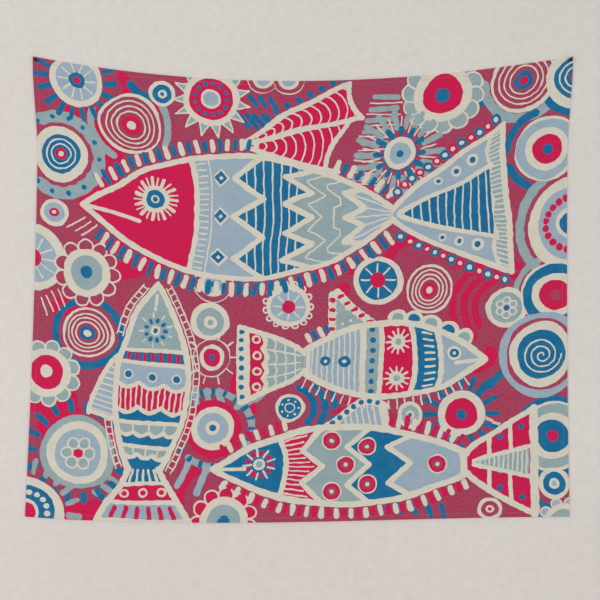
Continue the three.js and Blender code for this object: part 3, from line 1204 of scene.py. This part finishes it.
panel = cloth_piece("printed_panel", (0, 0, WIDTH, HEIGHT), PANEL_FRONT, PANEL_BACK, holes=pin_holes)
dress(panel, "cloth_panel", cloth_materials)
bend_with_swing(panel)

FOLD_EDGE = HEM + FOLD_GAP
folds = {  # what a hem turns over: its box beyond the cloth's edge, and where it mirrors
    "left": ((-HEM, FOLD_EDGE, 0, HEIGHT - FOLD_EDGE), (0, None)),
    "right": ((WIDTH, FOLD_EDGE, WIDTH + HEM, HEIGHT - FOLD_EDGE), (WIDTH, None)),
    "top": ((FOLD_EDGE, -HEM, WIDTH - FOLD_EDGE, 0), (None, 0)),
    "bottom": ((FOLD_EDGE, HEIGHT, WIDTH - FOLD_EDGE, HEIGHT + HEM), (None, HEIGHT)),
}
for edge, (box, fold) in folds.items():
    hem = cloth_piece(edge + "_folded_hem", box, 0.0, HEM_FRONT, fold)
    dress(hem, edge + "_hem", cloth_materials)
    bend_with_swing(hem)
for end, y_box, y_fold in (("top", (-HEM, 0), 0), ("bottom", (HEIGHT, HEIGHT + HEM), HEIGHT)):
    for side, x_box, x_fold in (("left", (-HEM, 0), 0), ("right", (WIDTH, WIDTH + HEM), WIDTH)):
        holes = []
        if end == "top":
            holes = [(2 * x_fold - x, 2 * y_fold - y, radius) for x, y, radius in pin_holes
                     if abs(x - x_fold) < HEM]
        box = (x_box[0], y_box[0], x_box[1], y_box[1])
        corner = cloth_piece(f"{end}_{side}_corner_fold", box, 0.0, HEM_FRONT, (x_fold, y_fold), holes)
        dress(corner, f"corner_fold_{end}_{side}", cloth_materials)
        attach(corner, "pinned_corners" if end == "top" else "cloth")

# ---- stitches ----
STITCH_PITCH = 3.0
STITCH_LENGTH = 2.5
THREAD_RADIUS = 0.18
STITCH_SIDES = 6
STITCH_SHAPE = ((-0.5, 0.3), (-0.34, 0.9), (0.0, 1.0), (0.34, 0.9), (0.5, 0.3))  # along, share of the radius


def stitches(start, end, out, outward):
    """Points of a run of stitches, as stitch by ring by side, from one flat place to another."""
    start, end = np.array(start, float), np.array(end, float)
    length = math.dist(start, end)
    way = (end - start) / length
    across = np.array([-way[1], way[0]])
    middles = start + way * np.arange(STITCH_PITCH / 2, length, STITCH_PITCH)[:, None]
    along, swell = np.array(STITCH_SHAPE).T
    turn = np.arange(STITCH_SIDES) / STITCH_SIDES * math.tau
    flat = middles[:, None, None] + way * (along * STITCH_LENGTH)[None, :, None, None]
    flat = flat + across * (swell[:, None] * np.cos(turn) * THREAD_RADIUS)[None, :, :, None]
    lift = THREAD_RADIUS * 0.6 * (1 - (2 * along) ** 2)
    rise = outward * (lift[:, None] + swell[:, None] * np.sin(turn) * THREAD_RADIUS)
    rise = np.broadcast_to(out + rise, flat.shape[:3])
    return hang(flat.reshape(-1, 2), rise.reshape(-1)), len(middles)


def seam(name, start, end):
    front, count = stitches(start, end, PANEL_FRONT, 1)
    back, _ = stitches(start, end, 0.0, -1)
    rings = len(STITCH_SHAPE)
    faces = []
    for stitch in range(2 * count):
        base = stitch * rings * STITCH_SIDES
        turn = 1 if stitch < count else -1
        for ring_number in range(rings - 1):
            for side in range(STITCH_SIDES):
                here = base + ring_number * STITCH_SIDES + side
                beside = base + ring_number * STITCH_SIDES + (side + 1) % STITCH_SIDES
                faces.append((here, beside, beside + STITCH_SIDES, here + STITCH_SIDES)[::turn])
        faces.append(tuple(range(base + STITCH_SIDES - 1, base - 1, -1))[::turn])
        far = base + (rings - 1) * STITCH_SIDES
        faces.append(tuple(range(far, far + STITCH_SIDES))[::turn])
    return new_object(name, np.vstack((front, back)).tolist(), faces, smooth=True)


thread = thread_material()
seams = {
    "top": ((FOLD_EDGE, STITCH_INSET), (WIDTH - FOLD_EDGE, STITCH_INSET)),
    "bottom": ((WIDTH - FOLD_EDGE, HEIGHT - STITCH_INSET), (FOLD_EDGE, HEIGHT - STITCH_INSET)),
    "left": ((STITCH_INSET, HEIGHT - FOLD_EDGE), (STITCH_INSET, FOLD_EDGE)),
    "right": ((WIDTH - STITCH_INSET, FOLD_EDGE), (WIDTH - STITCH_INSET, HEIGHT - FOLD_EDGE)),
}
for edge, (start, end) in seams.items():
    stitching = seam(edge + "_stitching", start, end)
    dress(stitching, edge + "_hem_stitch", [thread])
    bend_with_swing(stitching)

# ---- push pins ----
GRIP_SIDES = 72
ROUND_STEPS = 7
GRIP_BACK = 1.8
GRIP_LENGTH = 12.5
FLANGE_RADIUS = 5.5
FLANGE_THICKNESS = 1.6
WAIST_RADIUS = 2.9
HEAD_RADIUS = 4.8
HEAD_THICKNESS = 3.2
EDGE_ROUND = 0.7
BORE_DEPTH = 6.5
HEAD_CROWN = 0.15
BACK_CHAMFER = 0.25


def corner_points(radius, along, start, end):
    turns = np.radians(np.linspace(start, end, ROUND_STEPS))
    return [(radius + EDGE_ROUND * math.cos(turn), along + EDGE_ROUND * math.sin(turn)) for turn in turns]


def grip_profile():
    """Radius and distance out from the flange's back, from the head's middle to the bore's end."""
    head_start = GRIP_LENGTH - HEAD_THICKNESS
    profile = [(0.0, GRIP_LENGTH + HEAD_CROWN), (HEAD_RADIUS * 0.45, GRIP_LENGTH + HEAD_CROWN * 2 / 3)]
    profile += corner_points(HEAD_RADIUS - EDGE_ROUND, GRIP_LENGTH - EDGE_ROUND, 90, 0)
    profile += corner_points(HEAD_RADIUS - EDGE_ROUND, head_start + EDGE_ROUND, 0, -90)
    for share in np.linspace(1, 0, 22)[1:-1]:
        flare = (2 * share - 1) ** 4
        target = (FLANGE_RADIUS if share < 0.5 else HEAD_RADIUS) - EDGE_ROUND
        profile.append((WAIST_RADIUS + (target - WAIST_RADIUS) * flare,
                        FLANGE_THICKNESS + (head_start - FLANGE_THICKNESS) * share))
    profile += corner_points(FLANGE_RADIUS - EDGE_ROUND, FLANGE_THICKNESS - EDGE_ROUND, 90, 0)
    profile += [(FLANGE_RADIUS, BACK_CHAMFER), (FLANGE_RADIUS - BACK_CHAMFER, 0.0)]
    return profile + [(HOLE_RADIUS, 0.0), (HOLE_RADIUS, BORE_DEPTH), (0.0, BORE_DEPTH)]


def turned_piece(name, profile, x, z):
    """A round solid about a line along Y through (x, z), in mm. The profile starts and ends on the line."""
    vertices = []
    for radius, out in profile[1:-1]:
        for side in range(GRIP_SIDES):
            turn = math.tau * side / GRIP_SIDES
            vertices.append((x + radius * math.cos(turn), -(GRIP_BACK + out), z + radius * math.sin(turn)))
    tip = len(vertices)
    vertices.append((x, -(GRIP_BACK + profile[0][1]), z))
    vertices.append((x, -(GRIP_BACK + profile[-1][1]), z))
    last = (len(profile) - 3) * GRIP_SIDES
    faces = []
    for side in range(GRIP_SIDES):
        beside = (side + 1) % GRIP_SIDES
        faces.append((tip, side, beside))
        faces.append((tip + 1, last + beside, last + side))
        for ring_number in range(len(profile) - 3):
            base = ring_number * GRIP_SIDES
            faces.append((base + side, base + GRIP_SIDES + side, base + GRIP_SIDES + beside, base + beside))
    return new_object(name, (np.array(vertices) * MM).tolist(), faces, smooth=True)


plastic = plastic_material()
steel = steel_material()
for side, spot in zip(("left", "right"), drape(PIN_SPOTS) - DRAPE_ORIGIN):
    grip = turned_piece(side + "_push_pin", grip_profile(), spot[0], spot[1])
    dress(grip, side + "_pin_grip", [plastic])
    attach(grip, side + "_pin")
    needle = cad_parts[side + "_pin_needle"]
    for slot_number in range(len(needle.material_slots)):
        needle.material_slots[slot_number].material = steel


# ---- room, light and camera ----
def wall_material():
    """Painted plaster. Seen from behind, it is clear, so that the cloth's back shows."""
    nodes = Nodes("plaster", Roughness=0.9)
    place = nodes.object_place()
    patch = nodes.ramp(nodes.noise(place, 1.3, 3.0), 0.35, 0.7)
    grain = nodes.noise(place, 42.0, 6.0, 0.6)
    shade = nodes.blend(patch, linear(228, 223, 219), linear(222, 217, 213))
    shade = nodes.blend(nodes.ramp(grain, 0.35, 0.65, 0.0, 0.5), shade, linear(214, 209, 205))
    nodes.colour(shade)
    nodes.bump(grain, 0.5, 0.006)
    clear = nodes.add("BsdfTransparent")
    side = nodes.add("NewGeometry").outputs["Backfacing"]
    mixed = nodes.add("MixShader", {0: side, 1: nodes.shader.outputs[0], 2: clear.outputs[0]})
    nodes.tree.links.new(mixed.outputs[0], nodes.tree.nodes["Material Output"].inputs["Surface"])
    return nodes.material


def floor_material():
    nodes = Nodes("floor", Roughness=0.8)
    patch = nodes.noise(nodes.object_place(), 2.0, 4.0)
    nodes.colour(nodes.blend(patch, linear(214, 211, 207), linear(208, 204, 200)))
    return nodes.material


WALL_Y = 0.0005
FLOOR_Z = -1.75
WALL_HALF = 3.2
WALL_TOP = 1.6
wall = four_sided("wall", [(-WALL_HALF, WALL_Y, FLOOR_Z), (WALL_HALF, WALL_Y, FLOOR_Z),
                           (WALL_HALF, WALL_Y, WALL_TOP), (-WALL_HALF, WALL_Y, WALL_TOP)])
wall.data.materials.append(wall_material())
wall.visible_shadow = False
floor = four_sided("floor", [(-6, -6, FLOOR_Z), (6, -6, FLOOR_Z), (6, 4, FLOOR_Z), (-6, 4, FLOOR_Z)])
floor.data.materials.append(floor_material())


def add_light(name, place, aim, size, power, colour):
    data = bpy.data.lights.new(name, "AREA")
    data.shape = "DISK"
    data.size = size
    data.energy = power
    data.color = colour
    lamp = bpy.data.objects.new(name, data)
    lamp.location = place
    lamp.rotation_euler = (Vector(aim) - Vector(place)).to_track_quat("-Z", "Y").to_euler()
    bpy.context.scene.collection.objects.link(lamp)


add_light("window", (-2.6, -3.4, -0.6), (0, 0, -0.75), 2.2, 44, (1.0, 0.985, 0.975))
add_light("fill", (2.6, -3.2, -1.5), (0, 0, -0.9), 2.6, 36, (0.97, 0.985, 1.0))
add_light("behind", (0.6, 2.8, 0.2), (0, 0, -0.65), 2.4, 60, (1.0, 0.99, 0.98))

world = bpy.data.worlds.new("room")
world.use_nodes = True
world.node_tree.nodes["Background"].inputs["Color"].default_value = (1.0, 0.99, 0.985, 1)
world.node_tree.nodes["Background"].inputs["Strength"].default_value = 0.66
bpy.context.scene.world = world
bpy.context.scene.view_settings.view_transform = "Standard"

CAMERA_AWAY = 5.0
VIEW_WIDTH = 1.68  # at the wall
VIEW_MIDDLE = (-0.0081, -0.6724)  # x and z
camera_data = bpy.data.cameras.new("camera")
camera_data.sensor_fit = "HORIZONTAL"
camera_data.angle = 2 * math.atan(VIEW_WIDTH / 2 / CAMERA_AWAY)
camera = bpy.data.objects.new("camera", camera_data)
camera.location = (VIEW_MIDDLE[0], -CAMERA_AWAY, VIEW_MIDDLE[1])
camera.rotation_euler = (math.radians(90), 0, 0)
bpy.context.scene.collection.objects.link(camera)
bpy.context.scene.camera = camera
